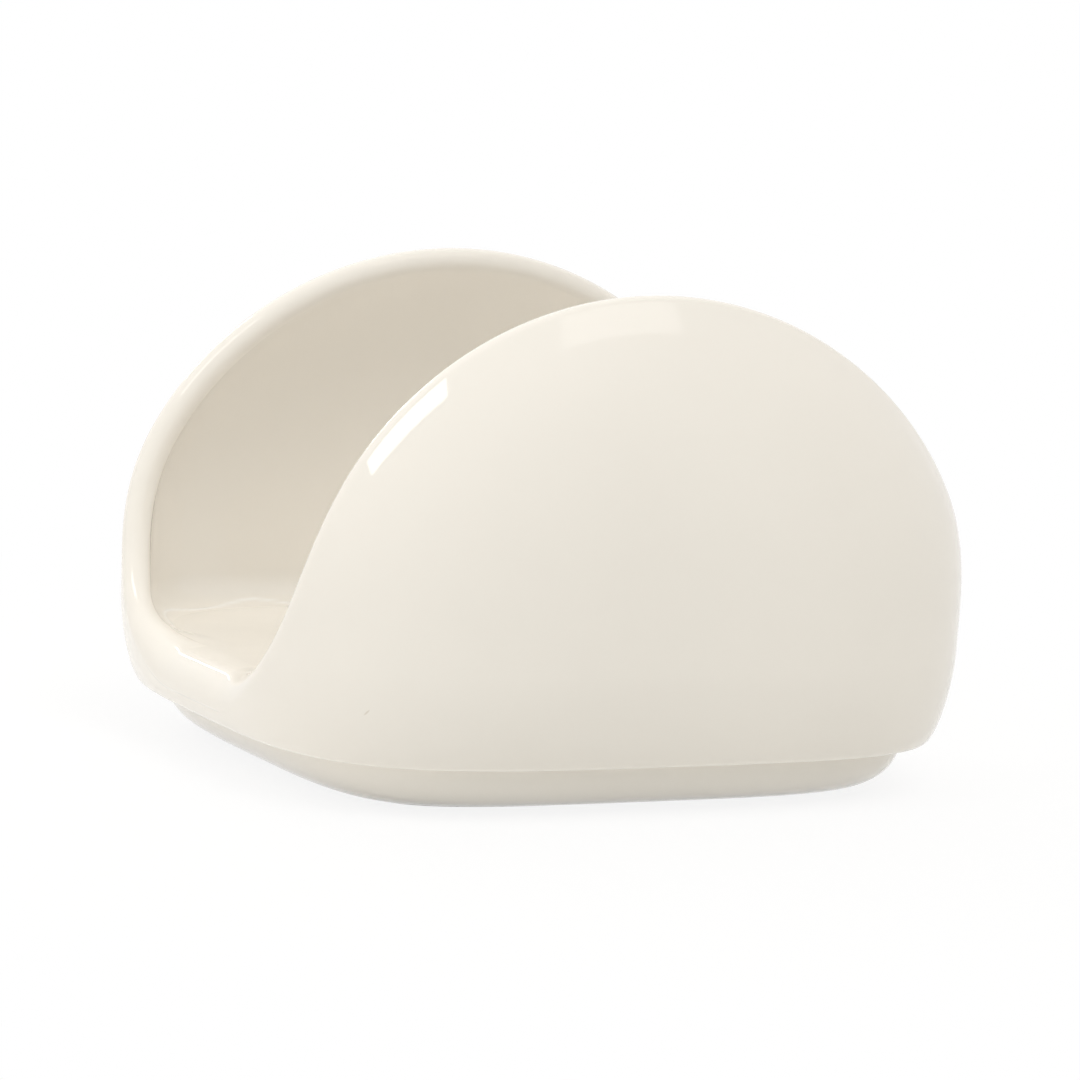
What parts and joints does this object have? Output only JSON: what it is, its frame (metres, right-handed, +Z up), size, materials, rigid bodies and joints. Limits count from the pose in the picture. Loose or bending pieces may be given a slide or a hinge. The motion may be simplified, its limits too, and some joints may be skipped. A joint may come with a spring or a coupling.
{
  "type": "napkin holder",
  "caption": "Pebble-shaped porcelain napkin holder: cupped walls with round rims stand on a cradle whose trough is open at both ends, on a low inset foot.",
  "frame": {"origin": "middle of the standing rim, on the table", "axes": "+X along the trough, +Y across it towards the back wall, +Z up"},
  "size_m": [0.117, 0.105, 0.0767],
  "materials": {
    "glaze": "gloss",
    "bare_rim": "matt"
  },
  "bodies": {
    "root": {"front_wall": "glaze", "back_wall": "glaze", "cradle": "glaze", "foot_ring": "glaze", "standing_rim": "bare_rim"}
  },
  "joints": []
}
